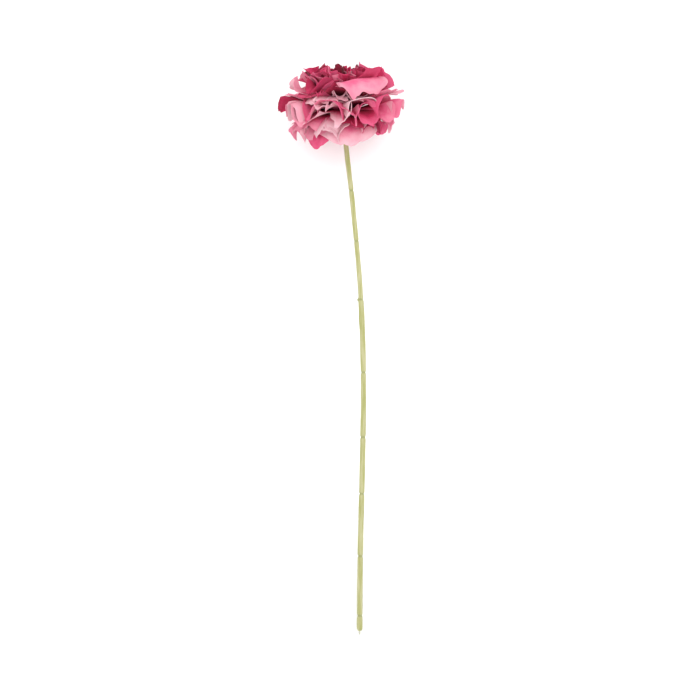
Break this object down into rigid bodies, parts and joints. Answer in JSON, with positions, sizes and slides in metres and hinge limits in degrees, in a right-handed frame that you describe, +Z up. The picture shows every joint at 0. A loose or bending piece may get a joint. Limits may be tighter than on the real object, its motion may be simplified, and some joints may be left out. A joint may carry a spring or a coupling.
{
  "type": "artificial carnation stem",
  "caption": "Single artificial carnation with layered ruffled fabric petals on a slender moulded plastic stem, lying on its side.",
  "frame": {"origin": "middle of the footprint of the lying flower, on the surface that it lies on", "axes": "+Y along the stem from its cut end to the bloom, +Z up from the surface, +X to the right of the flower seen from above with the bloom away"},
  "size_m": [0.0652, 0.3008, 0.0527],
  "materials": {
    "moulded_stem": "satin moulded plastic",
    "steel_wire": "drawn wire",
    "moulded_cap": "satin moulded plastic",
    "fabric_heart": "woven, matte",
    "fabric_crown": "woven, matte",
    "fabric_upper": "woven, matte",
    "fabric_skirt": "woven, matte",
    "fabric_guard": "woven, matte"
  },
  "bodies": {
    "root": {"stem_sleeve": "moulded_stem", "stem_wire": "steel_wire", "retaining_cap": "moulded_cap", "petals_heart": "fabric_heart", "petals_crown": "fabric_crown", "petals_upper": "fabric_upper", "petals_skirt": "fabric_skirt", "petals_guard": "fabric_guard"}
  },
  "joints": []
}
